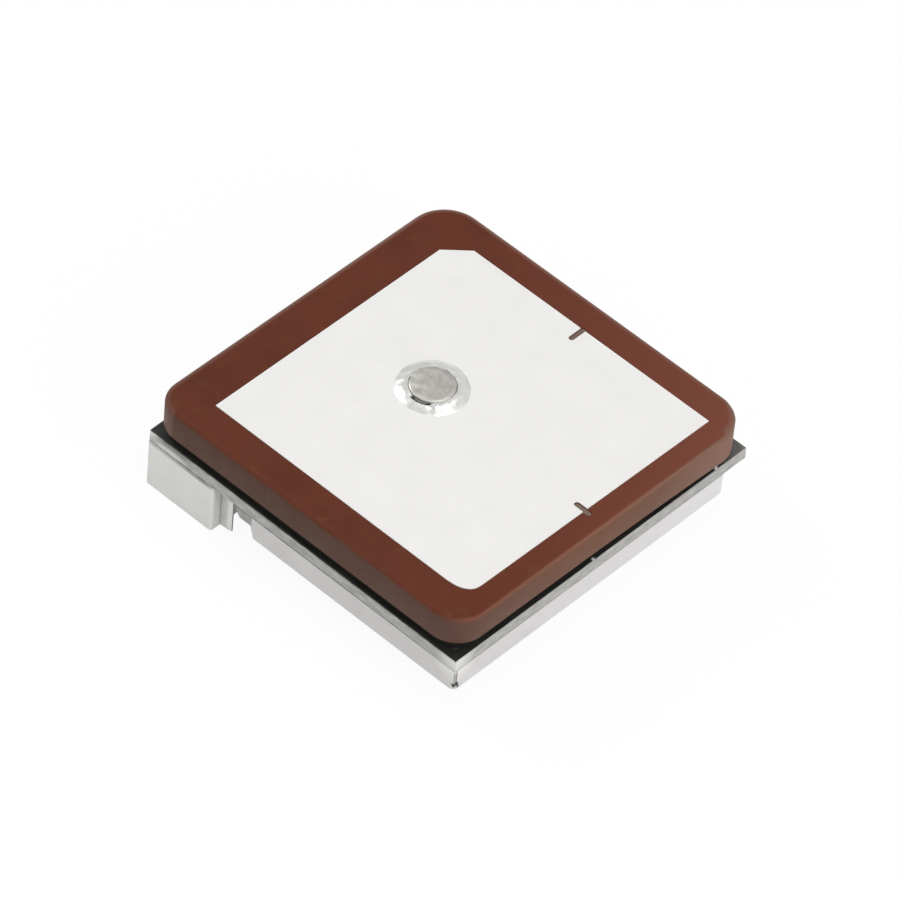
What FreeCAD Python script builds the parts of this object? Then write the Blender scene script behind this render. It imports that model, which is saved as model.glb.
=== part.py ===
import FreeCAD, Part
import os
import re
import Sketcher

# A satellite receiver module: a square ceramic patch antenna taped on a small circuit board,
# with a folded shield can and a side-entry connector under the board. Lengths in mm.
# X and Y run along the sides of the board, Z is up, and Z = 0 is the foot of the connector.

doc = FreeCAD.newDocument("satellite_receiver_module")

# Sizes

SIZES = {
    # board and its plated edge
    "board_side": 25.0,
    "board_thick": 0.9,
    "plating_thick": 0.05,
    "plating_round": 0.04,
    # antenna
    "ceramic_thick": 2.1,
    "left_corner": 1.9,
    "far_corner": 2.6,
    "right_corner": 2.2,
    "near_corner": 2.0,
    "ceramic_top_edge": 0.4,
    "ceramic_low_edge": 0.06,
    "ground_margin": 0.6,
    "ground_thick": 0.05,
    "ground_opening": 3.0,
    "tape_inset": 0.3,
    "tape_thick": 0.65,
    "tape_opening": 2.2,
    "patch_side": 20.5,
    "patch_thick": 0.05,
    "patch_shift": 0.82,
    "patch_far_cut": 1.5,
    "patch_near_cut": 1.15,
    "patch_cut_round": 0.8,
    # tuning slits ground into the patch
    "slit_wide": 0.3,
    "slit_back_long": 1.15,
    "slit_back_shift": 0.17,
    "slit_side_long": 0.81,
    "slit_side_shift": 0.37,
    "slit_runout": 0.42,
    "slit_deep": 0.15,
    # feed pin and its joints
    "feed_offset": 1.78,
    "feed_lift": 0.17,
    "pin_thick": 0.9,
    "pin_head_wide": 2.92,
    "pin_head_thick": 0.25,
    "pin_head_edge": 0.08,
    "pin_seat": 0.12,
    "pin_tail": 0.5,
    "pin_play": 0.15,
    "solder_wide": 4.62,
    "solder_rise": 0.3,
    "solder_foot": 0.04,
    "solder_play": 0.02,
    "joint_wide": 2.0,
    "joint_high": 0.42,
    # shield can
    "can_clear": 1.0,
    "can_setback": 1.55,
    "can_high": 1.78,
    "can_wall": 0.15,
    "can_bend": 0.25,
    "can_turn": 0.6,
    "can_seam": 0.06,
    "can_relief": 0.32,
    "can_relief_high": 0.5,
    "can_corner_cut": 0.45,
    "can_corner_cut_high": 0.2,
    "can_ear_long": 1.65,
    "can_ear_high": 0.7,
    "can_ear_slope": 0.5,
    "can_end_slope": 0.27,
    # connector
    "plug_long": 5.35,
    "plug_high": 3.65,
    "plug_side_wall": 0.6,
    "plug_floor": 0.65,
    "plug_roof": 0.7,
    "plug_back_wall": 1.0,
    "plug_round": 0.2,
    "plug_mouth_lead": 0.2,
    "contact_count": 6,
    "contact_pitch": 1.25,
    "contact_margin": 1.275,
    "contact_thick": 0.3,
    "contact_wide": 0.32,
    "contact_setback": 0.9,
    "contact_lead": 0.15,
    "contact_bend": 0.12,
    "contact_foot": 0.95,
    "contact_play": 0.02,
    "window_wide": 1.1,
    "window_long": 1.8,
    "window_setback": 1.0,
    "tab_inset": 0.75,
    "tab_thick": 0.2,
    "tab_reach": 0.9,
    "tab_web": 0.3,
    "tab_lift": 0.06,
    "tab_play": 0.03,
    # parts under the board
    "part_gap": 0.8,
    "chip_side": 7.0,
    "chip_thick": 0.85,
    "chip_edge": 0.08,
    "flash_long": 4.0,
    "flash_wide": 3.0,
    "flash_thick": 0.55,
    "filter_long": 1.4,
    "filter_wide": 1.1,
    "filter_thick": 0.5,
    "amp_side": 1.5,
    "amp_thick": 0.5,
    "tcxo_long": 2.5,
    "tcxo_wide": 2.0,
    "tcxo_base": 0.3,
    "tcxo_thick": 0.8,
    "tcxo_lid_step": 0.2,
    "crystal_long": 3.2,
    "crystal_wide": 1.5,
    "crystal_base": 0.35,
    "crystal_thick": 0.75,
    "crystal_lid_step": 0.15,
    "regulator_long": 2.9,
    "regulator_wide": 1.6,
    "regulator_thick": 1.05,
    "regulator_lift": 0.1,
    "lead_long": 0.5,
    "lead_wide": 0.4,
    "lead_thick": 0.15,
    "lead_pitch": 0.95,
    "chip_cap_long": 1.0,
    "chip_cap_wide": 0.5,
    "chip_cap_thick": 0.5,
    "chip_cap_pitch": 1.5,
    "chip_cap_count": 7,
    "resistor_long": 1.0,
    "resistor_wide": 0.5,
    "resistor_thick": 0.35,
    "resistor_pitch": 1.2,
    "resistor_count": 4,
    "coil_long": 1.2,
    "coil_wide": 0.8,
    "coil_thick": 0.6,
    "coil_pitch": 2.0,
    "coil_count": 3,
    "cell_wide": 4.8,
    "cell_thick": 1.4,
    "cell_edge": 0.3,
    "cell_cap_step": 0.5,
    "cell_cap_thick": 0.35,
    "cell_margin": 1.6,
}

# Levels and places that follow from the sizes

PLACES = {
    "board_foot": "plug_high",
    "board_head": "board_foot + board_thick",
    "ground_foot": "board_head + tape_thick",
    "ceramic_foot": "ground_foot + ground_thick",
    "ceramic_head": "ceramic_foot + ceramic_thick",
    "patch_head": "ceramic_head + patch_thick",
    "feed_at_x": "-feed_offset",
    "feed_at_y": "feed_lift",
    "can_foot": "board_foot - can_high",
    "can_left": "feed_at_x - joint_wide / 2 - can_clear",
    "can_back": "board_side / 2 - can_setback",
    "can_long": "board_side / 2 - can_left",
    "can_deep": "board_side / 2 + can_back",
    "plug_wide": "contact_pitch * (contact_count - 1) + 2 * (contact_margin + plug_side_wall)",
    "plug_back": "plug_long - board_side / 2",
    "contact_level": "plug_floor + (plug_high - plug_floor - plug_roof) / 2",
    "contact_start": "plug_side_wall + contact_margin - board_side / 2",
    "inner_right": "board_side / 2 - can_wall - part_gap",
    "inner_front": "can_wall + part_gap - board_side / 2",
    "inner_left": "can_left + can_wall + part_gap",
    "inner_back": "can_back - can_wall - part_gap",
    "filter_at_x": "feed_at_x + joint_wide / 2 + part_gap + filter_long / 2",
    "amp_at_x": "filter_at_x + filter_long / 2 + part_gap + amp_side / 2",
    "tcxo_at_x": "amp_at_x + amp_side / 2 + part_gap + tcxo_long / 2",
    "crystal_at_y": "inner_front + chip_side + part_gap + crystal_long / 2",
    "flash_at_y": "feed_at_y + tcxo_wide / 2 + part_gap + flash_wide / 2",
    "coil_at_y": "feed_at_y + joint_wide / 2 + part_gap + coil_wide / 2",
    "regulator_at_x": "inner_left + lead_long + regulator_wide / 2",
    "regulator_at_y": "inner_front + regulator_long / 2",
    "resistor_at_y": "regulator_at_y + regulator_long / 2 + part_gap + resistor_wide / 2",
    "cell_at_x": "cell_margin + cell_wide / 2 - board_side / 2",
    "cell_at_y": "board_side / 2 - cell_margin - cell_wide / 2",
}

sheet = doc.addObject("Spreadsheet::Sheet", "Sizes")
WORDS = re.compile(r"\b(" + "|".join(list(SIZES) + list(PLACES)) + r")\b")


def bound(text):
    """An expression in which each named size reads its own cell."""
    return WORDS.sub(r"Sizes.\1", text)


row = 1
for alias, value in SIZES.items():
    sheet.set("A%d" % row, alias)
    sheet.set("B%d" % row, repr(value))
    sheet.setAlias("B%d" % row, alias)
    row += 1
for alias, text in PLACES.items():
    sheet.set("A%d" % row, alias)
    sheet.set("B%d" % row, "=" + text)
    sheet.setAlias("B%d" % row, alias)
    row += 1
doc.recompute()


# Helpers

def body(name):
    made = doc.addObject("PartDesign::Body", name)
    made.Label = name
    made.AllowCompound = True
    return made


def sketch(owner, name, plane="XY_Plane", x="0", y="0", z="0"):
    """A sketch on an origin plane of its body, moved to x, y, z in that plane's own axes."""
    made = owner.newObject("Sketcher::SketchObject", owner.Name + "_" + name)
    base = [f for f in owner.Origin.OriginFeatures if f.Role == plane][0]
    made.AttachmentSupport = [(base, "")]
    made.MapMode = "FlatFace"
    for axis, text in (("x", x), ("y", y), ("z", z)):
        if text != "0":
            made.setExpression("AttachmentOffset.Base." + axis, bound(text))
    return made


def rectangle(owner, wide, high):
    """A rectangle centred on the sketch's origin."""
    corners = [(-1, -1), (1, -1), (1, 1), (-1, 1)]
    first = owner.GeometryCount
    for n in range(4):
        a = FreeCAD.Vector(corners[n][0], corners[n][1], 0)
        b = FreeCAD.Vector(corners[(n + 1) % 4][0], corners[(n + 1) % 4][1], 0)
        owner.addGeometry(Part.LineSegment(a, b), False)
    for n in range(4):
        owner.addConstraint(Sketcher.Constraint("Coincident", first + n, 2, first + (n + 1) % 4, 1))
    owner.addConstraint(Sketcher.Constraint("Horizontal", first))
    owner.addConstraint(Sketcher.Constraint("Vertical", first + 1))
    owner.addConstraint(Sketcher.Constraint("Horizontal", first + 2))
    owner.addConstraint(Sketcher.Constraint("Vertical", first + 3))
    owner.addConstraint(Sketcher.Constraint("Symmetric", first, 1, first + 1, 2, -1, 1))
    a = owner.addConstraint(Sketcher.Constraint("DistanceX", first, 1, first, 2, 2.0))
    b = owner.addConstraint(Sketcher.Constraint("DistanceY", first + 1, 1, first + 1, 2, 2.0))
    owner.setExpression("Constraints[%d]" % a, bound(wide))
    owner.setExpression("Constraints[%d]" % b, bound(high))


def circle(owner, wide):
    """A circle centred on the sketch's origin."""
    n = owner.addGeometry(Part.Circle(FreeCAD.Vector(0, 0, 0), FreeCAD.Vector(0, 0, 1), 1.0), False)
    owner.addConstraint(Sketcher.Constraint("Coincident", n, 3, -1, 1))
    c = owner.addConstraint(Sketcher.Constraint("Diameter", n, 2.0))
    owner.setExpression("Constraints[%d]" % c, bound(wide))


def outline(owner, points):
    """A closed outline whose corners are held at x, y from the sketch's origin."""
    first = owner.GeometryCount
    count = len(points)
    for n in range(count):
        a = FreeCAD.Rotation(360.0 * n / count, 0, 0).multVec(FreeCAD.Vector(1, 0, 0))
        b = FreeCAD.Rotation(360.0 * (n + 1) / count, 0, 0).multVec(FreeCAD.Vector(1, 0, 0))
        owner.addGeometry(Part.LineSegment(a, b), False)
    for n in range(count):
        owner.addConstraint(Sketcher.Constraint("Coincident", first + n, 2, first + (n + 1) % count, 1))
    for n, (x, y) in enumerate(points):
        for kind, text in (("DistanceX", x), ("DistanceY", y)):
            c = owner.addConstraint(Sketcher.Constraint(kind, -1, 1, first + n, 1, 1.0))
            owner.setExpression("Constraints[%d]" % c, bound(text))


def feature(owner, kind, name, **values):
    made = owner.newObject("PartDesign::" + kind, owner.Name + "_" + name)
    for key, value in values.items():
        if isinstance(value, str) and key in ("Length", "Radius", "Size", "Value", "Length2"):
            made.setExpression(key, bound(value))
        else:
            setattr(made, key, value)
    return made


def pad(owner, name, profile, length, **more):
    made = feature(owner, "Pad", name, Profile=profile, Length=length, **more)
    profile.Visibility = False
    doc.recompute()
    return made


def pocket(owner, name, profile, length, **more):
    made = feature(owner, "Pocket", name, Profile=profile, Length=length, **more)
    profile.Visibility = False
    doc.recompute()
    return made


def turned(owner, name, profile):
    """A full turn of the profile about the sketch's upright axis."""
    made = feature(owner, "Revolution", name, Profile=profile)
    made.ReferenceAxis = (profile, ["V_Axis"])
    made.Angle = 360
    doc.recompute()
    return made


def dress(owner, kind, name, length, test):
    """A fillet or a chamfer on the edges of the body so far that pass the test."""
    before = owner.Tip
    found = ["Edge%d" % (n + 1) for n, edge in enumerate(before.Shape.Edges) if test(edge)]
    made = owner.newObject("PartDesign::" + kind, owner.Name + "_" + name)
    made.Base = (before, found)
    made.setExpression("Radius" if kind == "Fillet" else "Size", bound(length))
    doc.recompute()
    return made


def upright(edge):
    box = edge.BoundBox
    return box.ZLength > 1e-4 and box.XLength < 1e-6 and box.YLength < 1e-6


def at_level(edge, level):
    box = edge.BoundBox
    return abs(box.ZMin - level) < 1e-5 and abs(box.ZMax - level) < 1e-5


def four_corners(owner, less=""):
    """Rounds the upright corners of a plate, each by the ceramic's own radius there."""
    for name, right, far in (("left", False, False), ("far", False, True),
                             ("right", True, True), ("near", True, False)):
        dress(owner, "Fillet", name + "_turn", name + "_corner" + less,
              lambda e: upright(e) and (e.BoundBox.XMin > 0) == right and (e.BoundBox.YMin > 0) == far)


def slab(name, wide, high, thick, x="0", y="0", z="0"):
    """A body that starts as a rectangular plate with its underside at z."""
    made = body(name)
    plan = sketch(made, "plan", x=x, y=y, z=z)
    rectangle(plan, wide, high)
    pad(made, "plate", plan, thick)
    return made


def size(alias):
    return float(sheet.get(alias))


def opened(owner, name, wide, x, y, z, depth=None):
    """A round hole, up from z, through everything or to a depth."""
    plan = sketch(owner, name + "_plan", x=x, y=y, z=z)
    circle(plan, wide)
    if depth is None:
        return pocket(owner, name, plan, "board_side", Reversed=True)
    return pocket(owner, name, plan, depth, Reversed=True)


def row_of(owner, name, original, axis, span, count):
    """Copies of a feature, evenly spaced along an axis of the body."""
    made = owner.newObject("PartDesign::LinearPattern", owner.Name + "_" + name)
    made.Originals = [original]
    direction = [f for f in owner.Origin.OriginFeatures if f.Role == axis][0]
    made.Direction = (direction, [""])
    owner.Tip = made
    made.setExpression("Length", bound(span))
    made.setExpression("Occurrences", bound(count))
    doc.recompute()
    return made


# Circuit board: dark resist over glass fibre, with a hole for the feed pin

bare_side = "board_side - 2 * plating_thick"
board = slab("circuit_board", bare_side, bare_side, "board_thick", z="board_foot")
opened(board, "feed_hole", "pin_thick + 2 * pin_play", "feed_at_x", "feed_at_y", "board_foot - board_thick")

# Plated edge: a thin metal skin all the way round the side of the board

plating = body("edge_plating")
ring = sketch(plating, "plan", z="board_foot")
rectangle(ring, "board_side", "board_side")
rectangle(ring, bare_side, bare_side)
pad(plating, "skin", ring, "board_thick")
half = size("board_side") / 2
dress(plating, "Fillet", "corners", "plating_round",
      lambda e: upright(e) and abs(abs(e.BoundBox.XMin) + abs(e.BoundBox.YMin) - 2 * half) < 1e-5)

# Foam tape that holds the antenna

tape = slab("adhesive_pad", "board_side - 2 * tape_inset", "board_side - 2 * tape_inset", "tape_thick",
            z="board_head")
four_corners(tape, " - tape_inset")
opened(tape, "feed_hole", "tape_opening", "feed_at_x", "feed_at_y", "board_foot")

# Silvered ground plane under the ceramic

ground = slab("antenna_ground_plane", "board_side - 2 * ground_margin", "board_side - 2 * ground_margin",
              "ground_thick", z="ground_foot")
four_corners(ground, " - ground_margin")
opened(ground, "feed_hole", "ground_opening", "feed_at_x", "feed_at_y", "board_foot")

# Ceramic block, with the slits' grooves ground into its top

ceramic = slab("antenna_ceramic", "board_side", "board_side", "ceramic_thick", z="ceramic_foot")
four_corners(ceramic)
head = size("ceramic_head")
foot = size("ceramic_foot")
dress(ceramic, "Fillet", "top_edge", "ceramic_top_edge", lambda e: at_level(e, head))
dress(ceramic, "Fillet", "low_edge", "ceramic_low_edge", lambda e: at_level(e, foot))
opened(ceramic, "feed_hole", "pin_thick + 2 * pin_play", "feed_at_x", "feed_at_y", "board_foot")
groove = sketch(ceramic, "back_groove_plan", x="patch_shift + slit_back_shift",
                y="patch_side / 2 - slit_back_long / 2", z="ceramic_head")
rectangle(groove, "slit_wide", "slit_back_long")
pocket(ceramic, "back_groove", groove, "slit_deep")
groove = sketch(ceramic, "side_groove_plan", y="-slit_side_shift", z="ceramic_head",
                x="patch_shift + patch_side / 2 + (slit_runout - slit_side_long) / 2")
rectangle(groove, "slit_side_long + slit_runout", "slit_wide")
pocket(ceramic, "side_groove", groove, "slit_deep")
groove_floor = head - size("slit_deep")
dress(ceramic, "Fillet", "groove_ends", "0.49 * slit_wide",
      lambda e: upright(e) and abs(e.BoundBox.ZMin - groove_floor) < 1e-5)

# Silver patch: a square with two opposite corners cut off and two tuning slits

patch = slab("antenna_patch", "patch_side", "patch_side", "patch_thick", x="patch_shift", z="ceramic_head")
shift = size("patch_shift")
dress(patch, "Chamfer", "far_cut", "patch_far_cut",
      lambda e: upright(e) and e.BoundBox.XMin < shift and e.BoundBox.YMin > 0)
dress(patch, "Chamfer", "near_cut", "patch_near_cut",
      lambda e: upright(e) and e.BoundBox.XMin > shift and e.BoundBox.YMin < 0)
dress(patch, "Fillet", "near_cut_ends", "patch_cut_round",
      lambda e: upright(e) and e.BoundBox.XMin > shift and e.BoundBox.YMin < 0)
notch = sketch(patch, "back_slit_plan", x="patch_shift + slit_back_shift", y="patch_side / 2", z="patch_head")
rectangle(notch, "slit_wide", "2 * slit_back_long")
pocket(patch, "back_slit", notch, "patch_thick")
notch = sketch(patch, "side_slit_plan", x="patch_shift + patch_side / 2", y="-slit_side_shift",
               z="patch_head")
rectangle(notch, "2 * slit_side_long", "slit_wide")
pocket(patch, "side_slit", notch, "patch_thick")
back_end = size("patch_side") / 2 - size("slit_back_long")
side_end = shift + size("patch_side") / 2 - size("slit_side_long")
dress(patch, "Fillet", "slit_ends", "0.49 * slit_wide", lambda e: upright(e) and (
    abs(e.BoundBox.YMin - back_end) < 1e-5 or abs(e.BoundBox.XMin - side_end) < 1e-5))
opened(patch, "feed_hole", "pin_thick + 2 * pin_play", "feed_at_x", "feed_at_y", "ceramic_foot")

# Feed pin: a flat head on the patch and a shank through to the back of the board

pin = body("feed_pin")
half_pin = sketch(pin, "profile", plane="XZ_Plane", x="feed_at_x", z="-feed_at_y")
outline(half_pin, [
    ("0", "board_foot - pin_tail"),
    ("pin_thick / 2", "board_foot - pin_tail"),
    ("pin_thick / 2", "patch_head + pin_seat"),
    ("pin_head_wide / 2", "patch_head + pin_seat"),
    ("pin_head_wide / 2", "patch_head + pin_seat + pin_head_thick"),
    ("0", "patch_head + pin_seat + pin_head_thick"),
])
turned(pin, "shank_and_head", half_pin)
pin_top = size("patch_head") + size("pin_seat") + size("pin_head_thick")
dress(pin, "Fillet", "head_edge", "pin_head_edge", lambda e: at_level(e, pin_top))

# Solder that beds the pin's head on the patch

solder = body("feed_solder")
half_bead = sketch(solder, "profile", plane="XZ_Plane", x="feed_at_x", z="-feed_at_y")
rim = "pin_head_wide / 2 + solder_play"
spread = "(solder_wide - pin_head_wide - 2 * solder_play) / 2"
outline(half_bead, [
    ("pin_thick / 2 + solder_play", "patch_head"),
    ("solder_wide / 2", "patch_head"),
    ("solder_wide / 2", "patch_head + solder_foot"),
    (rim + " + 0.75 * " + spread, "patch_head + 0.45 * solder_rise"),
    (rim + " + 0.4 * " + spread, "patch_head + 0.8 * solder_rise"),
    (rim, "patch_head + solder_rise"),
    (rim, "patch_head + pin_seat - solder_play"),
    ("pin_thick / 2 + solder_play", "patch_head + pin_seat - solder_play"),
])
turned(solder, "bead", half_bead)

# Solder cone round the pin's tail, under the board

joint = body("pin_solder_joint")
half_cone = sketch(joint, "profile", plane="XZ_Plane", x="feed_at_x", z="-feed_at_y")
outline(half_cone, [
    ("pin_thick / 2 + solder_play", "board_foot"),
    ("joint_wide / 2", "board_foot"),
    ("pin_thick / 2 + solder_play + solder_foot", "board_foot - joint_high"),
    ("pin_thick / 2 + solder_play", "board_foot - joint_high"),
])
turned(joint, "cone", half_cone)

# Shield can: one folded sheet, open to the board, with a low ear beside the connector

can = slab("shield_can", "can_long", "can_deep", "can_high", x="board_side / 2 - can_long / 2",
           y="can_deep / 2 - board_side / 2", z="can_foot")
hollow = sketch(can, "hollow_plan", x="board_side / 2 - can_long / 2", y="can_deep / 2 - board_side / 2",
                z="board_foot")
rectangle(hollow, "can_long - 2 * can_wall", "can_deep - 2 * can_wall")
pocket(can, "hollow", hollow, "can_high - can_wall")
can_foot = size("can_foot")
can_back = size("can_back")
can_wall = size("can_wall")


def at_back(edge, back):
    return upright(edge) and abs(edge.BoundBox.YMin - back) < 1e-5


dress(can, "Fillet", "inner_turns", "can_turn - can_wall", lambda e: at_back(e, can_back - can_wall))
dress(can, "Fillet", "inner_bend", "can_bend - can_wall", lambda e: at_level(e, can_foot + can_wall))
dress(can, "Fillet", "outer_turns", "can_turn", lambda e: at_back(e, can_back))
dress(can, "Fillet", "outer_bend", "can_bend", lambda e: at_level(e, can_foot))
ear = sketch(can, "ear_profile", plane="XZ_Plane", z="board_side / 2")
outline(ear, [
    ("can_left + 2 * can_wall", "board_foot"),
    ("can_left - can_ear_long", "board_foot"),
    ("can_left - can_ear_long + can_ear_slope", "board_foot - can_ear_high"),
    ("can_left - can_end_slope", "board_foot - can_ear_high"),
    ("can_left", "can_foot + can_bend"),
    ("can_left + 2 * can_wall", "can_foot + can_bend"),
])
pad(can, "ear", ear, "can_wall", Reversed=True)
seam = sketch(can, "seam_plan", x="board_side / 2", y="can_wall + can_seam / 2 - board_side / 2",
              z="board_foot")
rectangle(seam, "2 * can_wall", "can_seam")
pocket(can, "seam", seam, "can_high")
relief = sketch(can, "relief_plan", x="board_side / 2", y="-board_side / 2", z="can_foot + can_relief_high")
circle(relief, "2 * can_relief")
pocket(can, "relief", relief, "can_relief_high - can_wall")
corner = sketch(can, "corner_cut_plan", z="can_foot + can_corner_cut_high")
outline(corner, [
    ("board_side / 2 - can_corner_cut", "-board_side / 2"),
    ("board_side / 2", "-board_side / 2"),
    ("board_side / 2", "can_corner_cut - board_side / 2"),
])
pocket(can, "corner_cut", corner, "2 * can_corner_cut_high")

# Connector housing: a moulded side-entry shell with its mouth at the left edge of the board

housing = slab("connector_housing", "plug_long", "plug_wide", "plug_high", x="plug_long / 2 - board_side / 2",
               y="plug_wide / 2 - board_side / 2")
plug_back = size("plug_back")
dress(housing, "Fillet", "back_corners", "plug_round",
      lambda e: upright(e) and abs(e.BoundBox.XMin - plug_back) < 1e-5)
mouth = sketch(housing, "mouth_profile", plane="YZ_Plane", x="plug_wide / 2 - board_side / 2",
               y="contact_level", z="-board_side / 2")
rectangle(mouth, "plug_wide - 2 * plug_side_wall", "plug_high - plug_floor - plug_roof")
pocket(housing, "mouth", mouth, "plug_long - plug_back_wall", Reversed=True)


def mouth_rim(edge):
    box = edge.BoundBox
    inside = box.ZMin > size("plug_floor") - 1e-5 and box.ZMax < size("plug_high") - size("plug_roof") + 1e-5
    return abs(box.XMax + half) < 1e-5 and inside


dress(housing, "Chamfer", "mouth_lead", "plug_mouth_lead", mouth_rim)
hole = sketch(housing, "contact_hole_profile", plane="YZ_Plane", x="contact_start", y="contact_level",
              z="plug_back")
rectangle(hole, "contact_wide + 2 * contact_play", "contact_thick + 2 * contact_play")
bore = pocket(housing, "contact_hole", hole, "2 * plug_back_wall")
row_of(housing, "contact_holes", bore, "Y_Axis", "contact_pitch * (contact_count - 1)", "contact_count")
for name, place in (("near", "contact_start + contact_pitch / 2"),
                    ("far", "contact_start + contact_pitch * (contact_count - 1.5)")):
    window = sketch(housing, name + "_window_plan", x="window_setback + window_long / 2 - board_side / 2",
                    y=place, z="plug_floor")
    rectangle(window, "window_long", "window_wide")
    pocket(housing, name + "_window", window, "plug_floor")
for name, place in (("near", "tab_inset + tab_thick / 2 - board_side / 2"),
                    ("far", "plug_wide - tab_inset - tab_thick / 2 - board_side / 2")):
    slot = sketch(housing, name + "_tab_slot_plan", x="plug_back", y=place, z="plug_high")
    rectangle(slot, "2 * (plug_back_wall - tab_web)", "tab_thick + 2 * tab_play")
    pocket(housing, name + "_tab_slot", slot, "plug_high")

# Contacts: square pins in the mouth, bent up behind it to feet on the board

contacts = body("connector_contacts")
bent = sketch(contacts, "profile", plane="XZ_Plane", z="-contact_start")
low = "contact_level - contact_thick / 2"
high = "contact_level + contact_thick / 2"
outline(bent, [
    ("contact_setback - board_side / 2", low),
    ("plug_back + contact_lead + contact_thick", low),
    ("plug_back + contact_lead + contact_thick", "board_foot - contact_thick"),
    ("plug_back + contact_lead + contact_foot", "board_foot - contact_thick"),
    ("plug_back + contact_lead + contact_foot", "board_foot"),
    ("plug_back + contact_lead", "board_foot"),
    ("plug_back + contact_lead", high),
    ("contact_setback - board_side / 2", high),
])
first_contact = pad(contacts, "first", bent, "contact_wide", SideType=2)
row_of(contacts, "row", first_contact, "Y_Axis", "contact_pitch * (contact_count - 1)", "contact_count")
lead_x = plug_back + size("contact_lead")
stem_x = lead_x + size("contact_thick")
pin_low = size("contact_level") - size("contact_thick") / 2
pin_high = size("contact_level") + size("contact_thick") / 2
foot_low = size("board_foot") - size("contact_thick")


def runs_along_y(edge, x, z):
    box = edge.BoundBox
    return max(abs(box.XMin - x), abs(box.XMax - x), abs(box.ZMin - z), abs(box.ZMax - z)) < 1e-5


dress(contacts, "Fillet", "inner_bends", "contact_bend",
      lambda e: runs_along_y(e, lead_x, pin_high) or runs_along_y(e, stem_x, foot_low))
dress(contacts, "Fillet", "outer_bends", "contact_bend + contact_thick",
      lambda e: runs_along_y(e, stem_x, pin_low) or runs_along_y(e, lead_x, size("board_foot")))

# Solder tabs: two upright sheet-metal plates in the back of the housing

tabs = body("connector_tabs")
plate = sketch(tabs, "profile", plane="XZ_Plane", z="board_side / 2 - tab_inset - tab_thick / 2")
outline(plate, [
    ("plug_back - plug_back_wall + tab_web + tab_play", "tab_lift"),
    ("plug_back + tab_reach", "tab_lift"),
    ("plug_back + tab_reach", "board_foot"),
    ("plug_back - plug_back_wall + tab_web + tab_play", "board_foot"),
])
first_tab = pad(tabs, "first", plate, "tab_thick", SideType=2)
row_of(tabs, "pair", first_tab, "Y_Axis", "plug_wide - 2 * tab_inset - tab_thick", "2")

# Parts soldered under the board, inside the can

chip = slab("receiver_chip", "chip_side", "chip_side", "chip_thick", x="inner_right - chip_side / 2",
            y="inner_front + chip_side / 2", z="board_foot - chip_thick")
chip_low = size("board_foot") - size("chip_thick")
dress(chip, "Chamfer", "edge", "chip_edge", lambda e: at_level(e, chip_low))
slab("flash_memory", "flash_long", "flash_wide", "flash_thick", x="inner_right - flash_long / 2",
     y="flash_at_y", z="board_foot - flash_thick")
slab("saw_filter", "filter_long", "filter_wide", "filter_thick", x="filter_at_x", y="feed_at_y",
     z="board_foot - filter_thick")
slab("low_noise_amplifier", "amp_side", "amp_side", "amp_thick", x="amp_at_x", y="feed_at_y",
     z="board_foot - amp_thick")
for name, long, wide, base, thick, step, x, y in (
        ("crystal_oscillator", "tcxo_long", "tcxo_wide", "tcxo_base", "tcxo_thick", "tcxo_lid_step",
         "tcxo_at_x", "feed_at_y"),
        ("clock_crystal", "crystal_wide", "crystal_long", "crystal_base", "crystal_thick", "crystal_lid_step",
         "inner_right - crystal_wide / 2", "crystal_at_y")):
    part = slab(name, long, wide, base, x=x, y=y, z="board_foot - " + base)
    lid = sketch(part, "lid_plan", x=x, y=y, z="board_foot - " + thick)
    rectangle(lid, long + " - 2 * " + step, wide + " - 2 * " + step)
    pad(part, "lid", lid, thick + " - " + base)
regulator = slab("voltage_regulator", "regulator_wide", "regulator_long", "regulator_thick - regulator_lift",
                 x="regulator_at_x", y="regulator_at_y", z="board_foot - regulator_thick")
for name, side in (("left", "-"), ("right", "+")):
    lead = sketch(regulator, name + "_lead_plan", x="regulator_at_x " + side + " regulator_wide / 2",
                  y="regulator_at_y - lead_pitch", z="board_foot")
    rectangle(lead, "2 * lead_long", "lead_wide")
    first_lead = pad(regulator, name + "_lead", lead, "regulator_lift + lead_thick", Reversed=True)
    row_of(regulator, name + "_leads", first_lead, "Y_Axis", "2 * lead_pitch", "3")

# Rows of small chip parts

for name, long, wide, thick, axis, pitch, count, x, y in (
        ("decoupling_capacitors", "chip_cap_wide", "chip_cap_long", "chip_cap_thick", "X_Axis",
         "chip_cap_pitch", "chip_cap_count", "inner_left + chip_cap_wide / 2",
         "inner_back - chip_cap_long / 2"),
        ("chip_resistors", "resistor_long", "resistor_wide", "resistor_thick", "Y_Axis", "resistor_pitch",
         "resistor_count", "inner_left + resistor_long / 2", "resistor_at_y"),
        ("rf_inductors", "coil_long", "coil_wide", "coil_thick", "X_Axis", "coil_pitch",
         "coil_count", "feed_at_x", "coil_at_y")):
    part = body(name)
    plan = sketch(part, "plan", x=x, y=y, z="board_foot")
    rectangle(plan, long, wide)
    first_part = pad(part, "first", plan, thick, Reversed=True)
    row_of(part, "row", first_part, axis, pitch + " * (" + count + " - 1)", count)

# Backup cell on the open strip of the board, beside the can

cell = body("backup_cell")
disc = sketch(cell, "case_plan", x="cell_at_x", y="cell_at_y", z="board_foot")
circle(disc, "cell_wide")
pad(cell, "case", disc, "cell_thick - cell_cap_thick", Reversed=True)
cap = sketch(cell, "cap_plan", x="cell_at_x", y="cell_at_y", z="board_foot - cell_thick")
circle(cap, "cell_wide - 2 * cell_cap_step")
pad(cell, "cap", cap, "cell_cap_thick")
cell_low = size("board_foot") - size("cell_thick")
case_low = cell_low + size("cell_cap_thick")
dress(cell, "Fillet", "case_edge", "cell_edge",
      lambda e: at_level(e, case_low) and e.BoundBox.XLength > size("cell_wide") - 0.01)

# Check and export

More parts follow.
